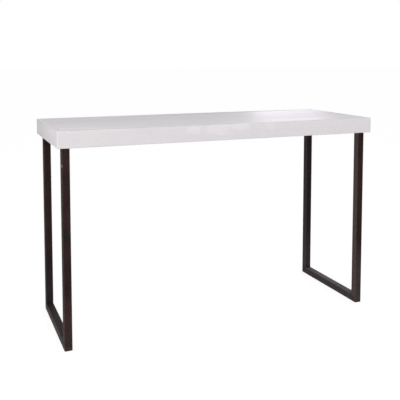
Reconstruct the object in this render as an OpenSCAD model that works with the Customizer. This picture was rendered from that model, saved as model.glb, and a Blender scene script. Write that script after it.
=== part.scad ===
// Standing bar table: a boxed timber top, painted white, on two welded square-tube leg frames.
// Millimetres. X runs along the length, -Y is the front, +Z is up.
// The origin is on the floor, under the middle of the top.

/* [Table] */
// Length of the top
table_length = 1800; // [1400:10:2200]
// Depth of the top, from its front face to its rear face
table_depth = 660; // [560:10:900]
// Height of the top surface above the floor
table_height = 1100; // [900:10:1200]

/* [Boxed top] */
// Height of the edge boards, which is the thickness that the top shows
edge_height = 86; // [80:1:140]
// Thickness of the edge boards
edge_thickness = 25; // [20:1:35]
// Radius of the eased outer edges of the edge boards
edge_rounding = 4; // [1:0.5:8]
// Thickness of the deck boards
deck_thickness = 25; // [20:1:32]
// Chamfer along the long upper edges of the deck boards
deck_chamfer = 0.8; // [0.4:0.1:3]

/* [Battens under the deck] */
// Width of a cross batten
batten_width = 60; // [40:1:90]
// Thickness of a cross batten
batten_thickness = 25; // [18:1:35]
// Distance between the middles of neighbouring battens
batten_spacing = 400; // [250:10:420]
// Clearance between the end of a batten and the edge board
batten_end_gap = 0.5; // [0.2:0.1:2]

/* [Leg frames] */
// Outside width of the square steel tube
tube_width = 40; // [30:1:50]
// Wall of the tube
tube_wall = 2; // [1.5:0.5:4]
// Outside corner radius of the tube
tube_rounding = 3; // [2:0.5:4]
// Clearance between a frame and the end board beside it
frame_end_gap = 1; // [0.5:0.5:10]
// Clearance between a frame and the front or rear edge board
frame_side_gap = 5; // [0.5:0.5:30]
// Leg length of the weld beads
weld_size = 4; // [2:0.5:5]

/* [Fixing bars] */
// Width of the flat bar that carries the fixing screws
bar_width = 40; // [25:1:60]
// Thickness of the flat bar
bar_thickness = 5; // [5:0.5:8]
// Clearance between the end of the bar and the leg
bar_end_gap = 6; // [5:1:30]
// Play that each slot gives the timber to swell and shrink
slot_play = 6; // [2:1:12]
// Distance from the end of the bar to the middle of its first slot
slot_end_distance = 20; // [14:1:22]
// Length of each stitch weld along the bar
stitch_length = 40; // [20:1:80]
// Distance between the middles of neighbouring stitch welds
stitch_spacing = 180; // [100:10:190]

/* [Screws] */
// Shank diameter of all the wood screws
screw_shank = 4.8; // [4:0.1:6]
// Head diameter of all the wood screws
screw_head = 9.6; // [8:0.1:12]
// Height of the round heads under the fixing bars
round_head_height = 3; // [2:0.1:4]
// Depth that a screw reaches into the deck boards
screw_bite = 14; // [10:1:16]
// Distance from a deck board's long edge to its batten screws
screw_edge_distance = 30; // [26:1:34]

/* [Dowels] */
// Diameter of the dowels that hold the edge boards
dowel_diameter = 8; // [6:1:10]
// Depth of a dowel in the outer of its two boards
dowel_outer_depth = 14; // [10:1:16]
// Depth of a dowel in the inner of its two boards
dowel_inner_depth = 20; // [14:1:20]
// Distance between the middles of neighbouring dowels along the front and rear
dowel_spacing = 300; // [150:10:400]
// Distance from the top and bottom of an end board to its corner dowels
corner_dowel_inset = 22; // [18:1:28]

/* [Glides] */
// Diameter of a glide's head
glide_diameter = 22; // [16:1:28]
// Height of a glide's head, on which the table stands
glide_height = 2; // [1.5:0.5:6]
// Diameter of a glide's stem
glide_stem = 8; // [6:0.5:12]
// Length of a glide's stem
glide_stem_length = 10; // [5:1:20]
// Distance from the outside of a leg to the middle of its glide
glide_inset = 60; // [45:1:120]

/* [Fits] */
// Clearance all round a screw, a dowel or a stem in its hole
hole_clearance = 0.3; // [0.2:0.05:0.5]

/* [Hidden] */

$fn = 48;
cut = 1;

white_paint = [0.87, 0.855, 0.865];
dark_steel = [0.23, 0.19, 0.18];
raw_pine = [0.84, 0.72, 0.52];
beech = [0.78, 0.62, 0.42];
zinc = [0.72, 0.73, 0.72];
black_nylon = [0.09, 0.09, 0.09];

// The boxed top
deck_count = 5;
deck_length = table_length - 2 * edge_thickness;
deck_depth = table_depth - 2 * edge_thickness;
deck_board_width = deck_depth / deck_count;
deck_under = table_height - deck_thickness;
edge_bottom = table_height - edge_height;
dowel_level = table_height - deck_thickness / 2;

// The leg frames
frame_outer_x = table_length / 2 - edge_thickness - frame_end_gap;
frame_x = frame_outer_x - tube_width / 2;
frame_depth = deck_depth - 2 * frame_side_gap;
frame_height = deck_under - glide_height;
leg_y = frame_depth / 2 - tube_width / 2;
window_depth = frame_depth - 2 * tube_width;

// The fixing bars
bar_length = window_depth - 2 * bar_end_gap;
bar_x = frame_outer_x - tube_width - bar_width / 2;
bar_under = deck_under - bar_thickness;

// Holes
screw_hole = screw_shank + 2 * hole_clearance;
head_depth = (screw_head - screw_shank) / 2;
dowel_hole = dowel_diameter + 2 * hole_clearance;
batten_under = deck_under - batten_thickness;
batten_length = deck_depth - 2 * batten_end_gap;

// Y of the middle of each deck board, counted from the front
function deck_board_y(i) = -deck_depth / 2 + (i - 0.5) * deck_board_width;

// Y of the two batten screws in each deck board
function batten_screw_y(i) = [
    for (side = [-1, 1])
        deck_board_y(i) + side * (deck_board_width / 2 - screw_edge_distance)
];

// Y of the fixing screw in each deck board, spread evenly along the bar
function fixing_y(i) =
    (bar_length - 2 * slot_end_distance) * ((i - 1) / (deck_count - 1) - 0.5);

batten_places = [-batten_spacing, 0, batten_spacing];

// X of the dowels along the front and rear edge boards, in pairs about the middle
dowel_pairs = floor((deck_length / 2 - dowel_diameter) / dowel_spacing + 0.5);
dowel_places = [
    for (k = [1 : dowel_pairs], side = [-1, 1]) side * (k - 0.5) * dowel_spacing
];

corner_dowel_levels = [edge_bottom + corner_dowel_inset, table_height - corner_dowel_inset];
glide_y = frame_depth / 2 - glide_inset;

// A rectangle about the origin with all four corners rounded
module round_rectangle(x, y, r) {
    square([x - 2 * r, y], center = true);
    square([x, y - 2 * r], center = true);
    for (sx = [-1, 1], sy = [-1, 1])
        translate([sx * (x / 2 - r), sy * (y / 2 - r)]) circle(r = r);
}

// Laid along X, with the section's own x across Y and its y up Z
module along_x(length)
    rotate([90, 0, 90]) linear_extrude(height = length, center = true) children();

// Laid along Y, with the section's own x along X and its y up Z
module along_y(length)
    rotate([90, 0, 0]) linear_extrude(height = length, center = true) children();

// The whole top as one block with every outer edge eased
module eased_block() {
    intersection() {
        translate([0, 0, edge_bottom]) linear_extrude(height = edge_height)
            round_rectangle(table_length, table_depth, edge_rounding);
        translate([0, 0, edge_bottom + edge_height / 2]) along_x(table_length)
            round_rectangle(table_depth, edge_height, edge_rounding);
        translate([0, 0, edge_bottom + edge_height / 2]) along_y(table_depth)
            round_rectangle(table_length, edge_height, edge_rounding);
    }
}

// A round bar along X (turn 0) or along Y (turn 90), from one depth to the other of its joint
module cross_pin(x, y, z, turn, back, front, d)
    translate([x, y, z]) rotate([0, 0, turn]) translate([-back, 0, 0])
        rotate([0, 90, 0]) cylinder(h = back + front, d = d);

// Dowels between the front or rear edge board and the deck, as pins or as their holes
module long_edge_dowels(side, d, extra)
    for (x = dowel_places)
        cross_pin(x, side * deck_depth / 2, dowel_level, side * 90,
            dowel_inner_depth + extra, dowel_outer_depth + extra, d);

// Dowels between an end board and the deck
module end_dowels(side, d, extra)
    for (i = [1 : deck_count])
        cross_pin(side * deck_length / 2, deck_board_y(i), dowel_level, 90 - side * 90,
            dowel_inner_depth + extra, dowel_outer_depth + extra, d);

// Dowels between the ends of the end boards and one long edge board
module joint_dowels(side, d, extra)
    for (end = [-1, 1], z = corner_dowel_levels)
        cross_pin(end * (table_length - edge_thickness) / 2, side * deck_depth / 2, z, side * 90,
            dowel_inner_depth + extra, dowel_outer_depth + extra, d);

// Front or rear edge board, the full length of the table
module long_edge_board(side) {
    color(white_paint) difference() {
        intersection() {
            eased_block();
            translate([-table_length / 2, side > 0 ? deck_depth / 2 : -table_depth / 2, edge_bottom])
                cube([table_length, edge_thickness, edge_height]);
        }
        long_edge_dowels(side, dowel_hole, hole_clearance);
        joint_dowels(side, dowel_hole, hole_clearance);
    }
}

// End board, held between the front and rear edge boards
module end_board(side) {
    color(white_paint) difference() {
        intersection() {
            eased_block();
            translate([side > 0 ? deck_length / 2 : -table_length / 2, -deck_depth / 2, edge_bottom])
                cube([edge_thickness, deck_depth, edge_height]);
        }
        end_dowels(side, dowel_hole, hole_clearance);
        joint_dowels(-1, dowel_hole, hole_clearance);
        joint_dowels(1, dowel_hole, hole_clearance);
    }
}

module front_edge_board() long_edge_board(-1);
module rear_edge_board() long_edge_board(1);
module left_end_board() end_board(-1);
module right_end_board() end_board(1);

// Section of a deck board, with its two upper edges chamfered
module deck_section() {
    half = deck_board_width / 2;
    polygon([
        [-half, 0], [half, 0],
        [half, deck_thickness - deck_chamfer], [half - deck_chamfer, deck_thickness],
        [deck_chamfer - half, deck_thickness], [-half, deck_thickness - deck_chamfer]
    ]);
}

// Blind hole in the underside of the deck
module pilot_hole(x, y)
    translate([x, y, deck_under - cut])
        cylinder(h = screw_bite + hole_clearance + cut, d = screw_hole);

// Deck board number i, counted from the front
module deck_board(i) {
    color(white_paint) difference() {
        translate([0, deck_board_y(i), deck_under]) along_x(deck_length) deck_section();
        for (x = batten_places, y = batten_screw_y(i)) pilot_hole(x, y);
        for (side = [-1, 1]) pilot_hole(side * bar_x, fixing_y(i));
        end_dowels(-1, dowel_hole, hole_clearance);
        end_dowels(1, dowel_hole, hole_clearance);
        if (i == 1) long_edge_dowels(-1, dowel_hole, hole_clearance);
        if (i == deck_count) long_edge_dowels(1, dowel_hole, hole_clearance);
    }
}

module deck_board_1() deck_board(1);
module deck_board_2() deck_board(2);
module deck_board_3() deck_board(3);
module deck_board_4() deck_board(4);
module deck_board_5() deck_board(5);

// Countersunk screw, head down, with its head flush at the origin
module countersunk_screw(length) {
    cylinder(h = length, d = screw_shank);
    cylinder(h = head_depth, d1 = screw_head, d2 = screw_shank);
}

// Cross batten, which keeps the deck boards flat and holds them together
module batten(x) {
    color(raw_pine) difference() {
        translate([x, 0, batten_under + batten_thickness / 2])
            cube([batten_width, batten_length, batten_thickness], center = true);
        for (i = [1 : deck_count], y = batten_screw_y(i))
            translate([x, y, batten_under - cut]) {
                cylinder(h = batten_thickness + 2 * cut, d = screw_hole);
                translate([0, 0, cut])
                    cylinder(h = head_depth, d1 = screw_head + 2 * hole_clearance, d2 = screw_hole);
            }
    }
}

module left_batten() batten(batten_places[0]);
module middle_batten() batten(batten_places[1]);
module right_batten() batten(batten_places[2]);

module batten_screws() {
    color(zinc) for (x = batten_places, i = [1 : deck_count], y = batten_screw_y(i))
        translate([x, y, batten_under])
            countersunk_screw(batten_thickness + screw_bite);
}

module deck_dowels() {
    color(beech) for (side = [-1, 1]) {
        long_edge_dowels(side, dowel_diameter, 0);
        end_dowels(side, dowel_diameter, 0);
    }
}

module corner_dowels() {
    color(beech) for (side = [-1, 1]) joint_dowels(side, dowel_diameter, 0);
}

// Square tube standing on the XY plane, both ends mitred so that the +Y side is the shorter
module mitred_tube(length) {
    half = tube_width / 2;
    difference() {
        linear_extrude(height = length) difference() {
            round_rectangle(tube_width, tube_width, tube_rounding);
            round_rectangle(tube_width - 2 * tube_wall, tube_width - 2 * tube_wall,
                max(tube_rounding - tube_wall, 0.5));
        }
        for (end = [0, 1])
            translate([0, 0, end * length]) mirror([0, 0, end]) along_x(tube_width + 2 * cut)
                polygon([[-half - cut, -cut], [half + cut, -cut], [half + cut, tube_width + cut]]);
    }
}

// Leg of the left (-1) or right (1) frame, at the front (-1) or the rear (1)
module leg(side, place) {
    color(dark_steel) translate([side * frame_x, place * leg_y, glide_height])
        mirror([0, place > 0 ? 1 : 0, 0]) mitred_tube(frame_height);
}

// Bottom rail, bored through its lower wall for the glides
module bottom_rail(side) {
    color(dark_steel) difference() {
        translate([side * frame_x, -frame_depth / 2, glide_height + tube_width / 2])
            rotate([-90, 0, 0]) mirror([0, 1, 0]) mitred_tube(frame_depth);
        for (end = [-1, 1])
            translate([side * frame_x, end * glide_y, 0])
                cylinder(h = glide_height + tube_wall + cut, d = glide_stem + 2 * hole_clearance);
    }
}

// Top rail, which lies against the underside of the deck
module top_rail(side) {
    color(dark_steel) translate([side * frame_x, -frame_depth / 2, deck_under - tube_width / 2])
        rotate([-90, 0, 0]) mitred_tube(frame_depth);
}

// Flat bar welded to the inner side of the top rail, with one slot for each deck board
module fixing_bar(side) {
    color(dark_steel) difference() {
        translate([side * bar_x, 0, bar_under + bar_thickness / 2])
            cube([bar_width, bar_length, bar_thickness], center = true);
        for (i = [1 : deck_count])
            translate([side * bar_x, fixing_y(i), bar_under - cut])
                linear_extrude(height = bar_thickness + 2 * cut) {
                    square([screw_hole, slot_play], center = true);
                    for (end = [-1, 1])
                        translate([0, end * slot_play / 2]) circle(d = screw_hole);
                }
    }
}

// Quarter-round bead that fills the corner between two faces
module weld_bead()
    intersection() {
        circle(r = weld_size);
        square(weld_size);
    }

// The beads in the four inner corners of a frame and the stitches along its fixing bar
module frame_welds(side) {
    window_bottom = glide_height + tube_width;
    window_height = frame_height - 2 * tube_width;
    color(dark_steel) {
        for (y = [0, 1], z = [0, 1])
            translate([
                side * frame_x, (y - 0.5) * window_depth, window_bottom + z * window_height
            ]) mirror([0, y, 0]) mirror([0, 0, z])
                along_x(tube_width - 2 * tube_rounding) weld_bead();
        for (y = [-stitch_spacing, 0, stitch_spacing])
            translate([side * (frame_outer_x - tube_width), y, bar_under])
                mirror([side > 0 ? 1 : 0, 0, 0]) mirror([0, 0, 1])
                    along_y(stitch_length) weld_bead();
    }
}

module left_front_leg() leg(-1, -1);
module left_rear_leg() leg(-1, 1);
module left_bottom_rail() bottom_rail(-1);
module left_top_rail() top_rail(-1);
module left_fixing_bar() fixing_bar(-1);
module left_frame_welds() frame_welds(-1);
module right_front_leg() leg(1, -1);
module right_rear_leg() leg(1, 1);
module right_bottom_rail() bottom_rail(1);
module right_top_rail() top_rail(1);
module right_fixing_bar() fixing_bar(1);
module right_frame_welds() frame_welds(1);

// Round-headed screw, head down, with the flat of its head at the origin
module round_head_screw(length) {
    dome_radius = (pow(screw_head / 2, 2) + pow(round_head_height, 2)) / (2 * round_head_height);
    cylinder(h = length, d = screw_shank);
    intersection() {
        translate([0, 0, dome_radius - round_head_height]) sphere(r = dome_radius);
        mirror([0, 0, 1]) cylinder(h = round_head_height + cut, d = screw_head);
    }
}

// Screws that hold the fixing bars up against the deck
module fixing_screws() {
    color(zinc) for (side = [-1, 1], i = [1 : deck_count])
        translate([side * bar_x, fixing_y(i), bar_under])
            round_head_screw(bar_thickness + screw_bite);
}

// Push-in glides under the ends of one bottom rail
module glides(side) {
    color(black_nylon) for (end = [-1, 1])
        translate([side * frame_x, end * glide_y, 0]) {
            cylinder(h = glide_height, d = glide_diameter);
            cylinder(h = glide_height + glide_stem_length, d = glide_stem);
        }
}

module left_glides() glides(-1);
module right_glides() glides(1);

front_edge_board();
rear_edge_board();
left_end_board();
right_end_board();
deck_board_1();
deck_board_2();
deck_board_3();
deck_board_4();
deck_board_5();
left_batten();
middle_batten();
right_batten();
left_front_leg();
left_rear_leg();
left_bottom_rail();
left_top_rail();
left_fixing_bar();
left_frame_welds();
right_front_leg();
right_rear_leg();
right_bottom_rail();
right_top_rail();
right_fixing_bar();
right_frame_welds();
batten_screws();
fixing_screws();
deck_dowels();
corner_dowels();
left_glides();
right_glides();
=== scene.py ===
import math
import random

import bmesh
import bpy
from mathutils import Matrix, Vector, noise


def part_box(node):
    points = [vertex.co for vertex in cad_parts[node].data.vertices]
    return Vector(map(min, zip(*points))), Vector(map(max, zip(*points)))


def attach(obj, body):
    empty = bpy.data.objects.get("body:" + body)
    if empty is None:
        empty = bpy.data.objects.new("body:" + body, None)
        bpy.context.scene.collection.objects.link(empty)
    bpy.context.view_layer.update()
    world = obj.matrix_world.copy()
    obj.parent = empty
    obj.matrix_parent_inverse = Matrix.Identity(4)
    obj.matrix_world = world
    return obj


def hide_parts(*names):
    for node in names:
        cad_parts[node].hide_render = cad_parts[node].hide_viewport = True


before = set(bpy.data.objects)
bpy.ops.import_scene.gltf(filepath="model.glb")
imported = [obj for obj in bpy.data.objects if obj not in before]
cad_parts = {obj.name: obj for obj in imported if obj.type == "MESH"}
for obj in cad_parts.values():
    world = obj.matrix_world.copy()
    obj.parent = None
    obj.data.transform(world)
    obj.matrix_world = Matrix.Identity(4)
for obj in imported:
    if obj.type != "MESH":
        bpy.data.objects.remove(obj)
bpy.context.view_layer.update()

# Front and rear edge boards: two planed boards on edge that run the whole length of the top and close
# it at the front and back. Their outer edges are rounded over by hand, and they are brush painted in
# satin white, but left bare on the hidden inner side.
BODY = "root"
ALONG_X, ALONG_Y, ALONG_Z = 0, 1, 2
# Painted shade: how much each board's white is darkened, more for the boards towards the rear of the
# top.
FRONT_PAINTED_SHADE = 0.80
REAR_PAINTED_SHADE = 2.4
EDGE_ROUNDING = 0.004
EDGE_ROUNDING_PARTS = 5
BROKEN_EDGE = 0.0004
BROKEN_EDGE_PARTS = 2
BOARD_CORNER = math.radians(50)
EASING_MARGIN = 0.0012
BOARD_MESH_STEP = 0.010
BOARD_LONGEST_EDGE = 1.6 * BOARD_MESH_STEP
SANDING_DEPTH = 0.0005
SANDING_WAVES = 38.0
PLANING_DEPTH = 0.0003
PLANING_WAVES = 5.0
PLANED_SKIN = 0.0045
CROWNED_SKIN = 0.003
RUBBED_SKIN = 0.0035
EDGE_RUB_REACH = 0.007
OVERSPRAY_START = 0.002
OVERSPRAY_REACH = 0.014
PAINT_WHITE = (0.833, 0.799, 0.806, 1.0)
PAINT_COOL = (0.787, 0.768, 0.799, 1.0)
PAINT_WARM = (0.822, 0.770, 0.758, 1.0)
PAINTED_HIGHLIGHT_WHITE = (0.900, 0.872, 0.884, 1.0)
PAINT_THIN = (0.560, 0.490, 0.465, 1.0)
PAINT_PORE = (0.500, 0.470, 0.480, 1.0)
BRUSH_SHADE = (0.70, 0.69, 0.72, 1.0)
PAINTED_BOARD_SHADE = (0.72, 0.71, 0.73, 1.0)
# Painted highlights: pale patches near the top of the front face, as (centre, reach, share).
FRONT_PAINTED_HIGHLIGHTS = (
    ((-0.200, -0.33, 1.074), (0.045, 0.012, 0.026), 0.36),
    ((-0.062, -0.33, 1.074), (0.075, 0.012, 0.036), 0.34),
    ((0.066, -0.33, 1.086), (0.070, 0.012, 0.024), 0.40),
    ((0.245, -0.33, 1.080), (0.032, 0.012, 0.026), 0.25),
)
THIN_PLACE = (-0.812, -0.3292, 1.0992)
THIN_REACH = (0.034, 0.0035, 0.0020)
PINE_EARLY = (0.720, 0.540, 0.345, 1.0)
PINE_LATE = (0.500, 0.310, 0.160, 1.0)
PINE_KNOT = (0.190, 0.095, 0.048, 1.0)
PINE_FIBRE = (0.55, 0.40, 0.27, 1.0)
KNOT_SPACING = (0.45, 0.09, 1.0)
KNOT_SHARE = 0.28
VECTOR, FLOAT = "NodeSocketVector", "NodeSocketFloat"


def set_inputs(tree, node, inputs):
    """Links each input whose value is a socket, and sets the others."""
    for name, value in inputs.items():
        if isinstance(value, bpy.types.NodeSocket):
            tree.links.new(value, node.inputs[name])
        else:
            node.inputs[name].default_value = value


def put(tree, kind, inputs=None, **settings):
    """Adds a node, makes its settings, and sets or links its inputs."""
    node = tree.nodes.new(kind)
    for name, value in settings.items():
        setattr(node, name, value)
    set_inputs(tree, node, inputs or {})
    return node


def maths(tree, operation, *values, clamp=False):
    """One Math node on these values or sockets."""
    node = put(tree, "ShaderNodeMath", dict(enumerate(values)), operation=operation, use_clamp=clamp)
    return node.outputs[0]


def times(tree, first, second):
    """The product of two values or sockets."""
    return maths(tree, "MULTIPLY", first, second)


def vectors(tree, operation, first, second=(0.0, 0.0, 0.0)):
    """One Vector Math node."""
    node = put(tree, "ShaderNodeVectorMath", {0: first, 1: second}, operation=operation)
    return node.outputs["Value" if operation == "LENGTH" else "Vector"]


def combined(tree, x, y, z):
    """Three numbers as one vector."""
    return put(tree, "ShaderNodeCombineXYZ", {0: x, 1: y, 2: z}).outputs[0]


def fade(tree, value, low, high, start=0.0, stop=1.0):
    """A smooth step of value, from start at low to stop at high."""
    inputs = {"Value": value, "From Min": low, "From Max": high, "To Min": start, "To Max": stop}
    node = put(tree, "ShaderNodeMapRange", inputs, interpolation_type="SMOOTHSTEP")
    return node.outputs["Result"]


def blend(tree, amount, first, second):
    """Two numbers mixed."""
    return put(tree, "ShaderNodeMix", {0: amount, 2: first, 3: second}, data_type="FLOAT").outputs[0]


def tint(tree, amount, first, second, how="MIX"):
    """Two colours mixed."""
    inputs = {0: amount, 6: first, 7: second}
    node = put(tree, "ShaderNodeMix", inputs, data_type="RGBA", blend_type=how)
    return node.outputs[2]


def glaze(tree, colour, mask, share, over, how="MIX"):
    """A colour with a share of another one over it, where a mask says."""
    return tint(tree, times(tree, mask, share), colour, over, how)


def drift(tree, place, scale, detail, roughness=0.5):
    """Smooth noise of this scale."""
    inputs = {"Vector": place, "Scale": scale, "Detail": detail, "Roughness": roughness}
    return put(tree, "ShaderNodeTexNoise", inputs).outputs["Fac"]


def spread(tree, value, contrast):
    """Noise drawn apart round its middle, and kept from 0 to 1."""
    swing = maths(tree, "SUBTRACT", value, 0.5)
    return maths(tree, "MULTIPLY_ADD", swing, contrast, 0.5, clamp=True)


def raised(tree, height, strength, depth):
    """The normal of a surface that has this relief."""
    inputs = {"Height": height, "Strength": strength, "Distance": depth}
    return put(tree, "ShaderNodeBump", inputs).outputs["Normal"]


def new_group(name, inputs, outputs, kind="ShaderNodeTree"):
    """An empty node group with these sockets, as (tree, sockets to read, node to feed)."""
    tree = bpy.data.node_groups.new(name, kind)
    if kind == "GeometryNodeTree":
        tree.is_modifier = True
    for label, socket_kind, value in inputs:
        socket = tree.interface.new_socket(name=label, in_out="INPUT", socket_type=socket_kind)
        if value is not None:
            socket.default_value = value
    for label, socket_kind in outputs:
        tree.interface.new_socket(name=label, in_out="OUTPUT", socket_type=socket_kind)
    return tree, tree.nodes.new("NodeGroupInput").outputs, tree.nodes.new("NodeGroupOutput")


def use_group(tree, group, *values):
    """Places a node group, with these values for its inputs in their order."""
    return put(tree, "ShaderNodeGroup", dict(enumerate(values)), node_tree=group).outputs


def new_material(name):
    """A material with only its Principled BSDF, as (material, tree, shader)."""
    material = bpy.data.materials.new(name)
    material.use_nodes = True
    return material, material.node_tree, material.node_tree.nodes["Principled BSDF"]


def attribute(tree, name, output="Fac"):
    """What a piece's mesh says under this name."""
    return put(tree, "ShaderNodeAttribute", attribute_name=name).outputs[output]


def object_place(tree):
    """Where a point of the surface is on the table."""
    return put(tree, "ShaderNodeTexCoord").outputs["Object"]


# Fine parallel lines such as brush marks, fibres and mill scratches. Place runs along them in X.
fibre_lines, given, result = new_group(
    "Fibre lines",
    [("Place", VECTOR, None), ("Length", FLOAT, 0.1), ("Width", FLOAT, 0.001), ("Contrast", FLOAT, 2.0)],
    [("Lines", FLOAT)],
)
line_size = combined(fibre_lines, given["Length"], given["Width"], given["Width"])
line_place = vectors(fibre_lines, "DIVIDE", given["Place"], line_size)
line_drift = drift(fibre_lines, line_place, 1.0, 2.0, 0.55)
set_inputs(fibre_lines, result, {"Lines": spread(fibre_lines, line_drift, given["Contrast"])})


def lines(tree, place, length, width, contrast):
    """Where the fine lines of a surface are."""
    return use_group(tree, fibre_lines, place, length, width, contrast)["Lines"]


# Soft patches of a given size.
clouding, given, result = new_group(
    "Clouding",
    [("Place", VECTOR, None), ("Size", FLOAT, 0.1), ("Contrast", FLOAT, 2.0)],
    [("Cloud", FLOAT)],
)
cloud_drift = drift(clouding, given["Place"], maths(clouding, "DIVIDE", 1.0, given["Size"]), 3.0)
set_inputs(clouding, result, {"Cloud": spread(clouding, cloud_drift, given["Contrast"])})


def clouds(tree, place, size, contrast):
    """Where the soft patches of a surface are."""
    return use_group(tree, clouding, place, size, contrast)["Cloud"]


# Edges rubbed by hands and cloths. Edge is 1 on an edge and falls to 0 beside it.
rubbed_edges, given, result = new_group(
    "Rubbed edges",
    [("Edge", FLOAT, 0.0), ("Place", VECTOR, None), ("Patch Size", FLOAT, 0.02), ("Amount", FLOAT, 0.3)],
    [("Mask", FLOAT)],
)
rub_scale = maths(rubbed_edges, "DIVIDE", 1.0, given["Patch Size"])
rub_drift = drift(rubbed_edges, given["Place"], rub_scale, 4.0, 0.65)
rub_value = maths(rubbed_edges, "ADD", given["Edge"], rub_drift)
rub_start = maths(rubbed_edges, "SUBTRACT", 1.65, given["Amount"])
rub_stop = maths(rubbed_edges, "ADD", rub_start, 0.12)
set_inputs(rubbed_edges, result, {"Mask": fade(rubbed_edges, rub_value, rub_start, rub_stop)})


def rubbed(tree, edge, place, patch_size, amount):
    """Where the edges of a piece are rubbed."""
    return use_group(tree, rubbed_edges, edge, place, patch_size, amount)["Mask"]


# One worn, knocked or touched-up place with a ragged outline.
worn_spot, given, result = new_group(
    "Worn spot",
    [
        ("Place", VECTOR, None),
        ("Centre", VECTOR, None),
        ("Reach", VECTOR, (0.01, 0.01, 0.01)),
        ("Raggedness", FLOAT, 0.5),
    ],
    [("Mask", FLOAT)],
)
spot_offset = vectors(worn_spot, "SUBTRACT", given["Place"], given["Centre"])
spot_share = vectors(worn_spot, "DIVIDE", spot_offset, given["Reach"])
spot_swing = maths(worn_spot, "SUBTRACT", drift(worn_spot, spot_share, 1.7, 4.0), 0.5)
spot_ragged = times(worn_spot, spot_swing, given["Raggedness"])
spot_distance = maths(worn_spot, "ADD", vectors(worn_spot, "LENGTH", spot_share), spot_ragged)
set_inputs(worn_spot, result, {"Mask": fade(worn_spot, spot_distance, 0.7, 1.0, 1.0, 0.0)})


def spot(tree, place, centre, reach, raggedness):
    """Where a ragged spot covers a surface."""
    return use_group(tree, worn_spot, place, centre, reach, raggedness)["Mask"]


# Year rings of a sawn board, seen on its faces as long wandering bands that bend round a few knots.
# Place runs along the board in X and across its wide face in Y.
year_rings, given, result = new_group(
    "Year rings",
    [("Place", VECTOR, None), ("Ring Width", FLOAT, 0.004), ("Heart", VECTOR, (0.0, 0.01, -0.06))],
    [("Rings", FLOAT), ("Knots", FLOAT)],
)
knot_place = vectors(year_rings, "DIVIDE", given["Place"], KNOT_SPACING)
knot_inputs = {"Vector": knot_place, "Scale": 1.0}
knot_cells = put(year_rings, "ShaderNodeTexVoronoi", knot_inputs, voronoi_dimensions="2D").outputs
knot_offset = vectors(year_rings, "SUBTRACT", knot_place, knot_cells["Position"])
knot_offset = vectors(year_rings, "MULTIPLY", knot_offset, (0.6 * KNOT_SPACING[0], KNOT_SPACING[1], 0.0))
knot_distance = vectors(year_rings, "LENGTH", knot_offset)
knot_draw = put(year_rings, "ShaderNodeSeparateColor", {0: knot_cells["Color"]}).outputs[0]
knot_here = maths(year_rings, "LESS_THAN", knot_draw, KNOT_SHARE)
knot_core = times(year_rings, knot_here, fade(year_rings, knot_distance, 0.0045, 0.0080, 1.0, 0.0))
knot_bend = times(year_rings, knot_here, fade(year_rings, knot_distance, 0.0, 0.045, 0.016, 0.0))
wander_place = vectors(year_rings, "MULTIPLY", given["Place"], (1.6, 9.0, 9.0))
ring_wander = drift(year_rings, wander_place, 1.0, 2.0)
ring_place = vectors(year_rings, "SUBTRACT", given["Place"], given["Heart"])
ring_place = vectors(year_rings, "MULTIPLY", ring_place, (0.0, 1.0, 1.0))
ring_radius = vectors(year_rings, "LENGTH", ring_place)
ring_radius = maths(year_rings, "MULTIPLY_ADD", ring_wander, 0.030, ring_radius)
ring_radius = maths(year_rings, "ADD", ring_radius, knot_bend)
ring_age = maths(year_rings, "DIVIDE", ring_radius, given["Ring Width"])
growth_inputs = {"W": ring_age, "Scale": 0.35, "Detail": 2.0}
ring_growth = put(year_rings, "ShaderNodeTexNoise", growth_inputs, noise_dimensions="1D").outputs["Fac"]
ring_count = maths(year_rings, "FRACT", maths(year_rings, "MULTIPLY_ADD", ring_growth, 3.0, ring_age))
ring_rise = fade(year_rings, ring_count, 0.20, 0.85)
ring_fall = fade(year_rings, ring_count, 0.90, 1.0, 1.0, 0.0)
set_inputs(year_rings, result, {"Rings": times(year_rings, ring_rise, ring_fall), "Knots": knot_core})


def pine_colour(tree, place, ring_width):
    """Colour and grain height of bare planed pine, with its rings and fibres."""
    growth = use_group(tree, year_rings, place, ring_width)
    fibres = lines(tree, place, length=0.035, width=0.0006, contrast=3.0)
    colour = glaze(tree, PINE_EARLY, growth["Rings"], 0.60, PINE_LATE)
    colour = glaze(tree, colour, fibres, 0.25, PINE_FIBRE, "MULTIPLY")
    colour = glaze(tree, colour, growth["Knots"], 0.85, PINE_KNOT)
    return colour, maths(tree, "MULTIPLY_ADD", growth["Rings"], 0.5, fibres)


white_paint, tree, shader = new_material("white_paint_on_timber")
place = attribute(tree, "grain", "Vector")
where = object_place(tree)
brushing = lines(tree, place, length=0.30, width=0.0024, contrast=2.4)
wide_brushing = lines(tree, place, length=0.55, width=0.016, contrast=2.6)
passes = lines(tree, place, length=1.10, width=0.055, contrast=3.0)
pores = lines(tree, place, length=0.018, width=0.0007, contrast=5.0)
pore_mask = fade(tree, pores, 0.80, 1.0)
coat = tint(tree, clouds(tree, where, size=0.30, contrast=2.2), PAINT_WHITE, PAINT_COOL)
coat = glaze(tree, coat, wide_brushing, 0.26, PAINT_WARM)
coat = glaze(tree, coat, brushing, 0.05, BRUSH_SHADE, "MULTIPLY")
coat = glaze(tree, coat, passes, 0.08, BRUSH_SHADE, "MULTIPLY")
# Painted shade: each board's white is darkened by its own amount, more towards the rear of the top.
coat = glaze(tree, coat, attribute(tree, "painted_shade"), 0.20, PAINTED_BOARD_SHADE, "MULTIPLY")
coat = glaze(tree, coat, pore_mask, 0.22, PAINT_PORE)
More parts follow.
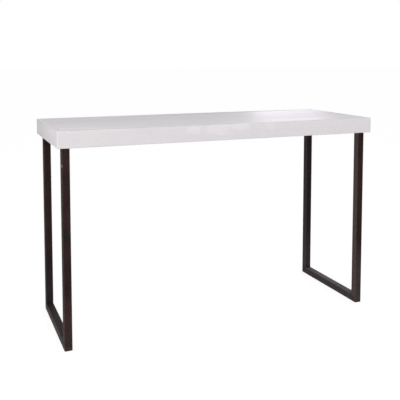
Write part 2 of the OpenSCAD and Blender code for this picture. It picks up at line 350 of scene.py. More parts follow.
# Painted highlights near the top of the front face.
for centre, reach, cover in FRONT_PAINTED_HIGHLIGHTS:
    coat = glaze(tree, coat, spot(tree, where, centre, reach, raggedness=1.5), cover, PAINTED_HIGHLIGHT_WHITE)
coat = glaze(tree, coat, spot(tree, where, THIN_PLACE, THIN_REACH, raggedness=1.1), 0.65, PAINT_THIN)
pine, pine_relief = pine_colour(tree, place, ring_width=0.0045)
worn = times(tree, rubbed(tree, attribute(tree, "edge"), where, patch_size=0.03, amount=0.05), 0.4)
overspray = clouds(tree, where, size=0.035, contrast=2.0)
paint_cover = maths(tree, "MULTIPLY_ADD", overspray, 0.5, attribute(tree, "painted"))
paint_cover = times(tree, fade(tree, paint_cover, 0.45, 0.85), maths(tree, "SUBTRACT", 1.0, worn))
sheen = maths(tree, "MULTIPLY_ADD", wide_brushing, 0.05, 0.340)
sheen = maths(tree, "MULTIPLY_ADD", passes, 0.13, sheen)
sheen = maths(tree, "MULTIPLY_ADD", pores, 0.05, sheen)
relief = maths(tree, "MULTIPLY_ADD", wide_brushing, 0.9, times(tree, brushing, 0.6))
relief = maths(tree, "SUBTRACT", relief, times(tree, pore_mask, 0.7))
paint_inputs = {
    "Base Color": tint(tree, paint_cover, pine, coat),
    "Roughness": blend(tree, paint_cover, 0.72, sheen),
    "Normal": raised(tree, blend(tree, paint_cover, pine_relief, relief), 0.4, 0.00005),
}
set_inputs(tree, shader, paint_inputs)


def ease(shape, edges, offset, parts):
    """Rounds these edges over."""
    bmesh.ops.bevel(shape, geom=edges, offset=offset, segments=parts, profile=0.5, affect="EDGES")


def divide(shape, axis):
    """Cuts every long edge that runs along an axis into short lengths."""
    runs = []
    for e in shape.edges:
        along = abs(e.verts[0].co[axis] - e.verts[1].co[axis])
        if e.calc_length() > BOARD_LONGEST_EDGE and along > 0.999 * e.calc_length():
            runs.append(e)
    if runs:
        cuts = round(max(e.calc_length() for e in runs) / BOARD_MESH_STEP) - 1
        bmesh.ops.subdivide_edges(shape, edges=runs, cuts=max(1, cuts), use_grid_fill=True)


def board_shape(box, outside, rounding):
    """A board in this box. Edges between two outside faces, given as (axis, side), are rounded over."""
    low, high = box
    shape = bmesh.new()
    bmesh.ops.create_cube(shape, size=1.0)
    for v in shape.verts:
        v.co = Vector([low[i] + (v.co[i] + 0.5) * (high[i] - low[i]) for i in range(3)])

    def lies_outside(face):
        axis = max(range(3), key=lambda i: abs(face.normal[i]))
        return (axis, 1 if face.normal[axis] > 0 else -1) in outside

    outer = [e for e in shape.edges if all(lies_outside(f) for f in e.link_faces)]
    if outer:
        ease(shape, outer, rounding, EDGE_ROUNDING_PARTS)
    sharp = [e for e in shape.edges if e.calc_face_angle(0.0) > BOARD_CORNER]
    ease(shape, sharp, BROKEN_EDGE, BROKEN_EDGE_PARTS)
    for axis in range(3):
        for side, wall in ((-1, low[axis]), (1, high[axis])):
            eased = rounding if (axis, side) in outside else BROKEN_EDGE
            cut = wall - side * (eased + EASING_MARGIN)
            normal = Vector([1.0 if i == axis else 0.0 for i in range(3)])
            everything = shape.verts[:] + shape.edges[:] + shape.faces[:]
            bmesh.ops.bisect_plane(shape, geom=everything, plane_co=normal * cut, plane_no=normal)
    for axis in range(3):
        divide(shape, axis)
    bmesh.ops.recalc_face_normals(shape, faces=shape.faces[:])
    return shape


def grain_shift(seed):
    """How far a piece's stretch of grain lies from those of the others."""
    draw = random.Random(seed)
    return Vector((draw.uniform(-3, 3), draw.uniform(-1, 1), draw.uniform(-1, 1)))


def number_layers(shape, *names):
    """New layers that hold one number at each vertex."""
    return [shape.verts.layers.float.new(name) for name in names]


def add_object(name, data):
    """A new object in the scene, at the origin."""
    thing = bpy.data.objects.new(name, data)
    bpy.context.scene.collection.objects.link(thing)
    return thing


def make_object(name, shape, material=None):
    """Turns a finished shape into an object."""
    mesh = bpy.data.meshes.new(name)
    shape.to_mesh(mesh)
    shape.free()
    if material:
        mesh.materials.append(material)
    return add_object(name, mesh)


def finish_board(name, shape, box, grain_axis, outside, painted, seed, material, painted_shade=0.0, crown=0.0):
    """Planes, sands and marks the shape of a board in this box, and makes it an object."""
    low, high = box
    grain = shape.verts.layers.float_vector.new("grain")
    edge_layer, painted_layer, painted_shade_layer = number_layers(shape, "edge", "painted", "painted_shade")
    shift = grain_shift(seed)
    across = sorted((i for i in range(3) if i != grain_axis), key=lambda i: low[i] - high[i])
    shape.normal_update()
    moves = []
    for v in shape.verts:
        p = v.co
        gaps = {(i, -1): p[i] - low[i] for i in range(3)} | {(i, 1): high[i] - p[i] for i in range(3)}
        near = sorted(gaps[f] for f in outside)
        rub = 0.0
        if len(near) > 1 and near[0] < RUBBED_SKIN:
            rub = max(0.0, 1.0 - near[1] / EDGE_RUB_REACH)
        cover = 0.0
        for f in painted:
            cover = max(cover, 1.0 - max(0.0, gaps[f] - OVERSPRAY_START) / OVERSPRAY_REACH)
        v[grain] = Vector((p[grain_axis], p[across[0]], p[across[1]])) + shift
        v[edge_layer] = rub
        v[painted_layer] = cover
        v[painted_shade_layer] = painted_shade
        inward = 0.0
        if near[0] < PLANED_SKIN:
            inward = PLANING_DEPTH * (0.5 + 0.5 * noise.noise(p * PLANING_WAVES))
            inward += rub * SANDING_DEPTH * max(0.0, noise.noise(p * SANDING_WAVES + shift))
        move = -v.normal * inward
        if crown and gaps[(ALONG_Z, 1)] < CROWNED_SKIN:
            middle = (low.y + high.y) / 2
            move.z -= crown * ((p.y - middle) / (high.y - middle)) ** 2
        moves.append((v, move))
    for v, move in moves:
        v.co += move
    for f in shape.faces:
        f.smooth = True
    return make_object(name, shape, material)


def painted_board(node, grain_axis, outside, rounding, seed, painted_shade, crown=0.0):
    """A board in the CAD node's box, brush painted on its outside faces."""
    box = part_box(node)
    shape = board_shape(box, outside, rounding)
    name = "painted_" + node
    return finish_board(name, shape, box, grain_axis, outside, outside, seed, white_paint, painted_shade, crown)


for side, node, painted_shade in ((-1, "front_edge_board", FRONT_PAINTED_SHADE), (1, "rear_edge_board", REAR_PAINTED_SHADE)):
    outside = [(ALONG_Y, side), (ALONG_Z, 1), (ALONG_Z, -1), (ALONG_X, -1), (ALONG_X, 1)]
    board = painted_board(node, ALONG_X, outside, EDGE_ROUNDING, 11 + side, painted_shade)
    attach(board, BODY)
    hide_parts(node)

# End boards: two shorter boards between the long ones, that close the box at the left and right. The
# grain runs across the table, and the paint is brushed across with it.
# The end boards' white is darkened as painted shade.
END_PAINTED_SHADE = 2.0
for side, node in ((-1, "left_end_board"), (1, "right_end_board")):
    outside = [(ALONG_X, side), (ALONG_Z, 1), (ALONG_Z, -1)]
    board = painted_board(node, ALONG_Y, outside, EDGE_ROUNDING, 21 + side, END_PAINTED_SHADE)
    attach(board, BODY)
    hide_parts(node)

# Deck boards: five boards laid lengthwise inside the edge boards, planed flush and painted with them.
# Each has moved a little since, so it is faintly crowned and a hairline shows at each joint.
DECK_CROWN = 0.00022
# Painted shade on the deck boards, growing from the front board to the rear one.
DECK_PAINTED_SHADES = (0.0, 0.7, 1.3, 1.6, 2.4)
for number, painted_shade in enumerate(DECK_PAINTED_SHADES, 1):
    node = f"deck_board_{number}"
    board = painted_board(node, ALONG_X, [(ALONG_Z, 1)], BROKEN_EDGE, 30 + number, painted_shade, DECK_CROWN)
    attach(board, BODY)
    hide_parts(node)

# Battens: three bare pine boards across the underside of the deck, which hold its boards level. Their
# edges are broken with a plane, and they are drilled and countersunk for their screws.
BATTENS = ("left_batten", "middle_batten", "right_batten")
BATTEN_EASING = 0.0016
BATTEN_SCREW_SPREAD = 0.031
COUNTERSINK_SLACK = 0.0003
COUNTERSINK_OVERCUT = 0.001
SCREW_RADIUS = 0.0024
SCREW_HEAD_RADIUS = 0.0048
CROSS_RADIUS = 0.0026
CROSS_DEPTH = 0.0018
CROSS_WAIST = 0.62
CROSS_TAPER = 0.55
SHOULDER_SHARE = 0.93
TURNED_RINGS = 10
TURNED_SIDES = 24
SEAM_GAP = 0.00002
SHARP_ANGLE = math.radians(34)
PINE_HANDLED = (0.66, 0.58, 0.50, 1.0)
GEOMETRY, WHOLE, MATERIAL = "NodeSocketGeometry", "NodeSocketInt", "NodeSocketMaterial"

raw_pine, tree, shader = new_material("raw_pine")
place = attribute(tree, "grain", "Vector")
pine, pine_relief = pine_colour(tree, place, ring_width=0.0038)
handling = clouds(tree, place, size=0.09, contrast=2.5)
pine_inputs = {
    "Base Color": glaze(tree, pine, handling, 0.35, PINE_HANDLED, "MULTIPLY"),
    "Roughness": fade(tree, handling, 0.0, 1.0, 0.62, 0.78),
    "Normal": raised(tree, pine_relief, 0.6, 0.0001),
}
set_inputs(tree, shader, pine_inputs)


def pick(tree, index, values):
    """The value in this list whose number is index."""
    node = put(tree, "GeometryNodeIndexSwitch", data_type="FLOAT")
    while len(node.index_switch_items) < len(values):
        node.index_switch_items.new()
    set_inputs(tree, node, dict(enumerate([index] + values)))
    return node.outputs[0]


def blank_grid(tree, rows, columns):
    """A flat grid to be bent, as (mesh, place along it, place across it), both from -0.5 to 0.5."""
    size = {"Size X": 1.0, "Size Y": 1.0, "Vertices X": rows, "Vertices Y": columns}
    grid = put(tree, "GeometryNodeMeshGrid", size).outputs["Mesh"]
    flat_place = put(tree, "GeometryNodeInputPosition").outputs[0]
    split = put(tree, "ShaderNodeSeparateXYZ", {0: flat_place}).outputs
    return grid, split[0], split[1]


def row_number(tree, place, rows):
    """Which row of a flat grid lies at this place."""
    return maths(tree, "ROUND", times(tree, maths(tree, "ADD", place, 0.5), rows - 1.0))


def set_out(tree, grid, place, points, finish, turn, scale=(1.0, 1.0, 1.0)):
    """Bends a grid, closes its seams, and sets a real copy of it on every point, turned and scaled."""
    bent = put(tree, "GeometryNodeSetPosition", {"Geometry": grid, "Position": place}).outputs[0]
    seams = {"Geometry": bent, "Distance": SEAM_GAP}
    closed = put(tree, "GeometryNodeMergeByDistance", seams).outputs[0]
    facing = put(tree, "FunctionNodeEulerToRotation", {0: turn}).outputs[0]
    layout = {"Points": points, "Instance": closed, "Rotation": facing, "Scale": scale}
    copies = put(tree, "GeometryNodeInstanceOnPoints", layout).outputs[0]
    real = put(tree, "GeometryNodeRealizeInstances", {0: copies}).outputs[0]
    return put(tree, "GeometryNodeSetMaterial", {"Geometry": real, "Material": finish}).outputs[0]


# Turns a profile round its axis, head downwards, at every point it is given: screws and glides.
turned_part, given, result = new_group(
    "Turned part",
    [
        ("Geometry", GEOMETRY, None),
        ("Head Radius", FLOAT, SCREW_HEAD_RADIUS),
        ("Head Rise", FLOAT, 0.0),
        ("Rim Height", FLOAT, 0.0),
        ("Sink Depth", FLOAT, SCREW_HEAD_RADIUS - SCREW_RADIUS),
        ("Neck Radius", FLOAT, SCREW_RADIUS),
        ("Length", FLOAT, 0.039),
        ("Recess Radius", FLOAT, CROSS_RADIUS),
        ("Recess Depth", FLOAT, CROSS_DEPTH),
        ("Recess Lobes", FLOAT, 4.0),
        ("Seed", WHOLE, 0),
        ("Finish", MATERIAL, None),
    ],
    [("Geometry", GEOMETRY)],
    "GeometryNodeTree",
)
grid, along, around = blank_grid(turned_part, TURNED_RINGS, TURNED_SIDES + 1)
ring_number = row_number(turned_part, along, TURNED_RINGS)
turn = times(turned_part, maths(turned_part, "ADD", around, 0.5), 2 * math.pi)
lobe = maths(turned_part, "COSINE", times(turned_part, turn, given["Recess Lobes"]))
waist = maths(turned_part, "MULTIPLY_ADD", lobe, CROSS_WAIST / 2, 1.0 - CROSS_WAIST / 2)
recess_edge = times(turned_part, given["Recess Radius"], waist)
recess_floor = times(turned_part, recess_edge, CROSS_TAPER)
land = times(turned_part, recess_edge, 0.5)
land = maths(turned_part, "MULTIPLY_ADD", given["Head Radius"], 0.5, land)
shoulder = times(turned_part, given["Head Radius"], SHOULDER_SHARE)


def dome_height(radius):
    """Height of the head's face at a radius."""
    share = maths(turned_part, "DIVIDE", radius, given["Head Radius"])
    drop = maths(turned_part, "SUBTRACT", 1.0, times(turned_part, share, share))
    rise = maths(turned_part, "SUBTRACT", given["Head Rise"], given["Rim Height"])
    return maths(turned_part, "MULTIPLY_ADD", rise, drop, given["Rim Height"])


recess_bottom = maths(turned_part, "SUBTRACT", dome_height(0.0), given["Recess Depth"])
sink_bottom = times(turned_part, given["Sink Depth"], -1.0)
tip = times(turned_part, given["Length"], -1.0)
point_start = maths(turned_part, "ADD", tip, given["Neck Radius"])
# Radius and height of each ring, out over the recess and the head and then along the neck to its tip.
profile = (
    (0.0, recess_bottom),
    (recess_floor, recess_bottom),
    (recess_edge, dome_height(recess_edge)),
    (land, dome_height(land)),
    (shoulder, dome_height(shoulder)),
    (given["Head Radius"], given["Rim Height"]),
    (given["Head Radius"], 0.0),
    (given["Neck Radius"], sink_bottom),
    (given["Neck Radius"], point_start),
    (0.0, tip),
)
radii, heights = (list(values) for values in zip(*profile))
radius = pick(turned_part, ring_number, radii)
turned_place = combined(
    turned_part,
    times(turned_part, radius, maths(turned_part, "COSINE", turn)),
    times(turned_part, radius, maths(turned_part, "SINE", turn)),
    times(turned_part, pick(turned_part, ring_number, heights), -1.0),
)
angle_range = {2: 0.0, 3: 2 * math.pi, "Seed": given["Seed"]}
rest_angle = put(turned_part, "FunctionNodeRandomValue", angle_range, data_type="FLOAT").outputs[1]
rest_turn = combined(turned_part, 0.0, 0.0, rest_angle)
turned = set_out(turned_part, grid, turned_place, given["Geometry"], given["Finish"], rest_turn)
set_inputs(turned_part, result, {"Geometry": turned})


def grow(name, points, maker, facings=(), stretches=(), **inputs):
    """A node tree's parts on these points, as one plain mesh object."""
    seeds = bpy.data.meshes.new(name)
    seeds.from_pydata(points, [], [])
    if facings:
        seeds.attributes.new("facing", "FLOAT_VECTOR", "POINT")
        seeds.attributes["facing"].data.foreach_set("vector", [n for f in facings for n in f])
        seeds.attributes.new("stretch", "FLOAT", "POINT")
        seeds.attributes["stretch"].data.foreach_set("value", stretches)
    piece = add_object(name, seeds)
    modifier = piece.modifiers.new("grow", "NODES")
    modifier.node_group = maker
    for socket in maker.interface.items_tree:
        label = socket.name.replace(" ", "_")
        if socket.in_out == "INPUT" and label in inputs:
            modifier[socket.identifier] = inputs[label]
    depsgraph = bpy.context.evaluated_depsgraph_get()
    mesh = bpy.data.meshes.new_from_object(piece.evaluated_get(depsgraph))
    piece.modifiers.remove(modifier)
    piece.data = mesh
    shape = bmesh.new()
    shape.from_mesh(mesh)
    bmesh.ops.recalc_face_normals(shape, faces=shape.faces[:])
    grain = shape.verts.layers.float_vector.new("grain")
    for v in shape.verts:
        v[grain] = v.co
    shape.to_mesh(mesh)
    shape.free()
    mesh.shade_smooth()
    mesh.set_sharp_from_angle(angle=SHARP_ANGLE)
    return piece


def batten_screw_points(batten):
    """Where the screws' heads sit in a batten's underside: two for each deck board."""
    low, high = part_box(batten)
    points = []
    for number in range(1, len(DECK_PAINTED_SHADES) + 1):
        board_low, board_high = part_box(f"deck_board_{number}")
        for aside in (-BATTEN_SCREW_SPREAD, BATTEN_SCREW_SPREAD):
            points.append(((low.x + high.x) / 2, (board_low.y + board_high.y) / 2 + aside, low.z))
    return points


def countersunk(name, shape, points, through):
    """The shape with a countersunk hole at each of these points, cut up into it from below."""
    cutters = grow(
        "countersinks",
        points,
        turned_part,
        Head_Radius=SCREW_HEAD_RADIUS + COUNTERSINK_SLACK,
        Head_Rise=COUNTERSINK_OVERCUT,
        Rim_Height=COUNTERSINK_OVERCUT,
        Neck_Radius=SCREW_RADIUS + COUNTERSINK_SLACK,
        Length=through,
        Recess_Depth=0.0,
        Recess_Lobes=0.0,
    )
    drilled = make_object(name, shape)
    cut = drilled.modifiers.new("countersinks", "BOOLEAN")
    cut.operation = "DIFFERENCE"
    cut.object = cutters
    depsgraph = bpy.context.evaluated_depsgraph_get()
    mesh = bpy.data.meshes.new_from_object(drilled.evaluated_get(depsgraph))
    for helper in (drilled, cutters):
        bpy.data.objects.remove(helper)
    shape = bmesh.new()
    shape.from_mesh(mesh)
    shape.verts.layers.float_vector.remove(shape.verts.layers.float_vector["grain"])
    return shape


for number, node in enumerate(BATTENS):
    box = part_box(node)
    every_side = [(axis, side) for axis in range(3) for side in (-1, 1)]
    shape = board_shape(box, every_side, BATTEN_EASING)
    shape = countersunk(node, shape, batten_screw_points(node), 2 * (box[1].z - box[0].z))
    batten = finish_board("pine_" + node, shape, box, ALONG_Y, every_side, [], 50 + number, raw_pine)
    batten.data.set_sharp_from_angle(angle=SHARP_ANGLE)
    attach(batten, BODY)
    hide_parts(node)

# Batten screws: 30 zinc plated countersunk screws, two up through each batten into every deck board,
# driven flush from below with a cross bit, so each has come to rest at its own angle.
ZINC_PALE = (0.60, 0.60, 0.58, 1.0)
ZINC_BLUE = (0.44, 0.46, 0.50, 1.0)

zinc, tree, shader = new_material("zinc_screw")
spangle = clouds(tree, object_place(tree), size=0.002, contrast=2.4)
zinc_inputs = {
    "Base Color": tint(tree, spangle, ZINC_PALE, ZINC_BLUE),
    "Metallic": 1.0,
    "Roughness": fade(tree, spangle, 0.0, 1.0, 0.26, 0.46),
}
set_inputs(tree, shader, zinc_inputs)
low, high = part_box("batten_screws")
screw_points = [point for batten in BATTENS for point in batten_screw_points(batten)]
batten_screws = grow(
    "zinc_batten_screws",
    screw_points,
    turned_part,
    Length=high.z - low.z,
    Seed=3,
    Finish=zinc,
)
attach(batten_screws, BODY)
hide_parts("batten_screws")

# Dowels: fluted beech pins, glued, that locate the deck and the corners of the box. They are wholly
# hidden in the timber, so the frame's own pins stay and take a beech finish.
BEECH_PALE = (0.62, 0.43, 0.29, 1.0)
BEECH_FLECK = (0.46, 0.28, 0.17, 1.0)

beech, tree, shader = new_material("beech_dowel")
flecks = lines(tree, object_place(tree), length=0.004, width=0.0005, contrast=4.0)
beech_inputs = {
    "Base Color": tint(tree, flecks, BEECH_PALE, BEECH_FLECK),
    "Roughness": fade(tree, flecks, 0.0, 1.0, 0.55, 0.70),
}
set_inputs(tree, shader, beech_inputs)
for node in ("deck_dowels", "corner_dowels"):
    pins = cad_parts[node]
    pins.data.materials.clear()
    pins.data.materials.append(beech)

# Leg frames: two closed rectangles of square steel tube, mitred at their four corners, welded and
# ground flush. The steel is blackened brown and sealed with a satin lacquer, worn at the arrises.
TUBE_ROUNDING = 0.003
TUBE_WALL = 0.002
TUBE_CORNER = math.radians(55)
TUBE_STEP = 0.008
TUBE_FLAT_STOPS = (-0.97, -0.85, -0.5, 0.0, 0.5, 0.85, 0.97)
TUBE_FLAT_MARGIN = 0.0008
TUBE_CORNER_PARTS = 6
TUBE_CORNER_START = 0.75
TUBE_WAVE_DEPTH = 0.00010
TUBE_WAVES = 9.0
DENT_DEPTH = 0.00025
DENT_WAVES = 30.0
DENT_START = 0.25
MITRE_CHAMFER = 0.00035
MITRE_STOPS = (0.0015, 0.004)
MITRE_CLEAR = 0.006
HEAT_REACH = 0.035
SCUFF_HEIGHT = 0.30
SCUFF_DUST = 0.12
TOP_FACE_SKIN = 0.0015
DULL_HEIGHT = 0.26
DULL_BLEND = 0.12
CHIP_PLACE = (-0.8735, -0.2995, 0.926)
CHIP_REACH = (0.004, 0.004, 0.007)
STEEL_BLACK = (0.0125, 0.0090, 0.0105, 1.0)
STEEL_BROWN = (0.0500, 0.0190, 0.0165, 1.0)
STEEL_OLIVE = (0.0360, 0.0270, 0.0225, 1.0)
STEEL_LIT_SIDE = (0.1180, 0.0890, 0.0810, 1.0)
STEEL_LIT_SIDE_BLACK = (0.0880, 0.0800, 0.0880, 1.0)
STEEL_DULL = (0.0700, 0.0660, 0.0660, 1.0)
STEEL_RUBBED_AND_HIGHLIGHT = (0.0620, 0.0480, 0.0430, 1.0)
STEEL_CHIP = (0.3000, 0.2500, 0.2200, 1.0)
STEEL_GLOSS = (0.20, 0.16, 0.15, 1.0)
DUST_AND_LIGHT_WARM = (0.1350, 0.1060, 0.0930, 1.0)
DUST_AND_LIGHT_COOL = (0.1600, 0.1470, 0.1680, 1.0)

lacquered_steel, tree, shader = new_material("dark_lacquered_steel")
place = attribute(tree, "grain", "Vector")
edge = attribute(tree, "edge")
browned = attribute(tree, "browned")
where = object_place(tree)
blotches = clouds(tree, where, size=0.11, contrast=3.0)
small_blotches = clouds(tree, where, size=0.022, contrast=3.0)
drawing_lines = lines(tree, place, length=0.30, width=0.0055, contrast=3.6)
scratches = fade(tree, lines(tree, place, length=0.05, width=0.0004, contrast=5.5), 0.93, 1.0)
steel = tint(tree, times(tree, blotches, browned), STEEL_BLACK, STEEL_BROWN)
steel = glaze(tree, steel, drawing_lines, maths(tree, "MULTIPLY_ADD", browned, 0.35, 0.15), STEEL_OLIVE)
steel = glaze(tree, steel, attribute(tree, "middle"), 0.34, STEEL_BLACK)
# Painted light: the sides of each tube that face along X are lighter than the others, by each tube's
# amount.
lit_side_colour = tint(tree, browned, STEEL_LIT_SIDE_BLACK, STEEL_LIT_SIDE)
steel = glaze(tree, steel, attribute(tree, "painted_light_side"), 0.75, lit_side_colour)
steel = glaze(tree, steel, attribute(tree, "dulled"), 0.5, STEEL_DULL)
steel = glaze(tree, steel, small_blotches, 0.20, STEEL_BLACK)
heat = rubbed(tree, attribute(tree, "joint"), where, patch_size=0.03, amount=0.75)
steel = glaze(tree, steel, heat, 0.5, STEEL_OLIVE)
long_place = vectors(tree, "MULTIPLY", place, (0.3, 1.0, 1.0))
handled = rubbed(tree, edge, long_place, patch_size=0.025, amount=0.38)
# The arrises are lighter in rubbed patches, which is wear, and by a fixed share all along, which is a
# painted highlight.
arris_wear_and_highlight = maths(tree, "MAXIMUM", times(tree, handled, 0.45), times(tree, edge, 0.22))
steel = tint(tree, arris_wear_and_highlight, steel, STEEL_RUBBED_AND_HIGHLIGHT)
steel = glaze(tree, steel, scratches, 0.30, STEEL_RUBBED_AND_HIGHLIGHT)
chip = spot(tree, where, CHIP_PLACE, CHIP_REACH, raggedness=0.8)
steel = tint(tree, chip, steel, STEEL_CHIP)
# Dust low down on every tube, and a pale cast on the rails' upper faces that is partly dust and partly
# painted light.
dust_and_light_cloud = maths(tree, "MULTIPLY_ADD", clouds(tree, where, size=0.016, contrast=1.6), 0.6, 0.6)
dust_and_top_light_mask = maths(tree, "MULTIPLY", attribute(tree, "dust"), dust_and_light_cloud, clamp=True)
steel = tint(tree, dust_and_top_light_mask, steel, tint(tree, browned, DUST_AND_LIGHT_COOL, DUST_AND_LIGHT_WARM))
steel_shine = maths(tree, "MULTIPLY_ADD", small_blotches, 0.12, 0.34)
steel_shine = maths(tree, "MULTIPLY_ADD", handled, 0.14, steel_shine)
steel_shine = maths(tree, "MULTIPLY_ADD", dust_and_top_light_mask, 0.25, steel_shine)
steel_relief = maths(tree, "MULTIPLY_ADD", small_blotches, 0.5, drawing_lines)
steel_relief = maths(tree, "SUBTRACT", steel_relief, times(tree, scratches, 0.5))
steel_relief = maths(tree, "SUBTRACT", steel_relief, times(tree, chip, 2.0))
steel_inputs = {
    "Base Color": steel,
    "Metallic": maths(tree, "MULTIPLY_ADD", dust_and_top_light_mask, -0.85, 0.85),
    "Specular IOR Level": 0.2,
    "Specular Tint": STEEL_GLOSS,
    "Roughness": steel_shine,
    "Normal": raised(tree, steel_relief, 0.5, 0.00008),
}
set_inputs(tree, shader, steel_inputs)


def section_points(half, rounding):
    """The outline of a rounded square, as (first, second, share of the way into a corner)."""
    side = [(half, share * (half - rounding - TUBE_FLAT_MARGIN), 0.0) for share in TUBE_FLAT_STOPS]
    for i in range(TUBE_CORNER_PARTS + 1):
        a = math.pi / 2 * i / TUBE_CORNER_PARTS
        near = 1.0 if 0 < i < TUBE_CORNER_PARTS else TUBE_CORNER_START
        out, up = rounding * math.cos(a), rounding * math.sin(a)
        side.append((half - rounding + out, half - rounding + up, near))
    points = []
    for quarter in range(4):
        c, s = math.cos(math.pi / 2 * quarter), math.sin(math.pi / 2 * quarter)
        points += [(x * c - y * s, x * s + y * c, near) for x, y, near in side]
    return points


def skin(shape, rings, inside):
    """Faces between each ring of vertices and the next."""
    for one, two in zip(rings, rings[1:]):
        for i in range(len(one)):
            j = (i + 1) % len(one)
            quad = (one[i], one[j], two[j], two[i])
            shape.faces.new(quad[::-1] if inside else quad)


def mitred_tube(name, node, run_axis, fold_axis, outer_side, finish, seed):
    """A tube in the CAD node's box, cut at 45 degrees at both ends, longest on its outer side."""
    brown_below, brown_above, side_light, dulling, top_dust_and_light = finish
    low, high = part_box(node)
    half = (high[ALONG_X] - low[ALONG_X]) / 2
    centre = (low + high) / 2
    length = high[run_axis] - low[run_axis]
    outer_wall = high[fold_axis] if outer_side > 0 else low[fold_axis]
    shift = grain_shift(seed)
    shape = bmesh.new()
    grain = shape.verts.layers.float_vector.new("grain")
    layers = number_layers(shape, "edge", "joint", "browned", "painted_light_side", "middle", "dulled", "dust")

    def ring(t, section, shrink, sway):
        made = []
        for first, second, near in section:
            p = Vector((0.0, 0.0, 0.0))
            p[ALONG_X] = centre[ALONG_X] + first * shrink
            p[fold_axis] = centre[fold_axis] + second * shrink
            inset = abs(p[fold_axis] - outer_wall)
            p[run_axis] = low[run_axis] + inset + t * (length - 2 * inset)
            if sway:
                out = Vector((0.0, 0.0, 0.0))
                out[ALONG_X], out[fold_axis] = first, second
                dent = TUBE_WAVE_DEPTH * (0.5 + 0.5 * noise.noise(p * TUBE_WAVES + shift))
                dent += near * DENT_DEPTH * max(0.0, noise.noise(p * DENT_WAVES + shift) - DENT_START)
                p -= out.normalized() * dent
            to_mitre = min(p[run_axis] - low[run_axis] - inset, high[run_axis] - inset - p[run_axis])
            rise = min(1.0, max(0.0, (p.z - DULL_HEIGHT) / DULL_BLEND))
            painted_light_side = 0.5 + (abs(first) - abs(second)) / (2 * TUBE_ROUNDING)
            upward = 1.0 if run_axis == ALONG_Y and second > half - TOP_FACE_SKIN else 0.0
            marks = (
                near,
                max(0.0, 1.0 - to_mitre / HEAT_REACH),
                brown_below + (brown_above - brown_below) * rise,
                side_light * min(1.0, max(0.0, painted_light_side)),
                1.0 - (min(abs(first), abs(second)) / half) ** 2,
                dulling * (1.0 - rise),
                max(top_dust_and_light * upward, SCUFF_DUST * max(0.0, 1.0 - p.z / SCUFF_HEIGHT)),
            )
            v = shape.verts.new(p)
            v[grain] = Vector((p[run_axis], p[fold_axis], p[ALONG_X])) + shift
            for layer, mark in zip(layers, marks):
                v[layer] = mark
            made.append(v)
        return made

    close = [0.0] + [stop / length for stop in (MITRE_CHAMFER, *MITRE_STOPS)]
    count = round(length / TUBE_STEP)
    clear = MITRE_CLEAR / length
    between = [i / count for i in range(1, count) if clear < i / count < 1 - clear]
    outside = section_points(half, TUBE_ROUNDING)
    inside = section_points(half - TUBE_WALL, TUBE_ROUNDING - TUBE_WALL)
    outer_rings = []
    for t in close + between + [1 - t for t in close[::-1]]:
        shrink = 1.0 - (MITRE_CHAMFER / half if t in (0.0, 1.0) else 0.0)
        outer_rings.append(ring(t, outside, shrink, True))
    inner_rings = [ring(t, inside, 1.0, False) for t in (0.0, 1.0)]
    skin(shape, outer_rings, False)
    skin(shape, inner_rings, True)
    skin(shape, (outer_rings[0], inner_rings[0]), True)
    skin(shape, (outer_rings[-1], inner_rings[-1]), False)
    bmesh.ops.recalc_face_normals(shape, faces=shape.faces[:])
    for f in shape.faces:
        f.smooth = True
    for e in shape.edges:
        if e.calc_face_angle(0.0) > TUBE_CORNER:
            e.smooth = False
    return make_object(name, shape, lacquered_steel)


# Each tube with its finish: how brown it is low down and higher up, how much painted light lightens its
# flanks, how dull its foot is, and the dust with painted light on its upper side.
FRAME_TUBES = (
    ("left_front_leg", ALONG_Z, ALONG_Y, -1, (0.90, 0.90, 1.00, 0.00, 0.00)),
    ("left_rear_leg", ALONG_Z, ALONG_Y, 1, (0.05, 0.90, 0.80, 0.00, 0.00)),
    ("left_bottom_rail", ALONG_Y, ALONG_Z, -1, (0.60, 0.60, 1.00, 0.00, 0.30)),
    ("left_top_rail", ALONG_Y, ALONG_Z, 1, (0.70, 0.70, 1.00, 0.00, 0.20)),
    ("right_front_leg", ALONG_Z, ALONG_Y, -1, (0.80, 0.90, 1.00, 0.50, 0.00)),
    ("right_rear_leg", ALONG_Z, ALONG_Y, 1, (0.15, 0.05, 0.65, 0.15, 0.00)),
    ("right_bottom_rail", ALONG_Y, ALONG_Z, -1, (0.10, 0.10, 0.60, 0.00, 0.65)),
    ("right_top_rail", ALONG_Y, ALONG_Z, 1, (0.70, 0.70, 1.00, 0.00, 0.20)),
)
for number, (node, run_axis, fold_axis, outer_side, finish) in enumerate(FRAME_TUBES):
    tube = mitred_tube("steel_" + node, node, run_axis, fold_axis, outer_side, finish, 70 + number)
    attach(tube, BODY)
    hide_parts(node)

# Frame welds: rippled beads left as welded in the frames' inner corners, and three short stitches that
# hold each fixing bar to its top rail. They are lacquered with the frame.
WELD_RADIUS = 0.004
CORNER_BEAD = 0.032
STITCH_BEAD = 0.040
STITCH_SPACING = 0.18
BEAD_STEPS = 72
BEAD_ARC = 8
BEAD_END_SQUARENESS = 9.0

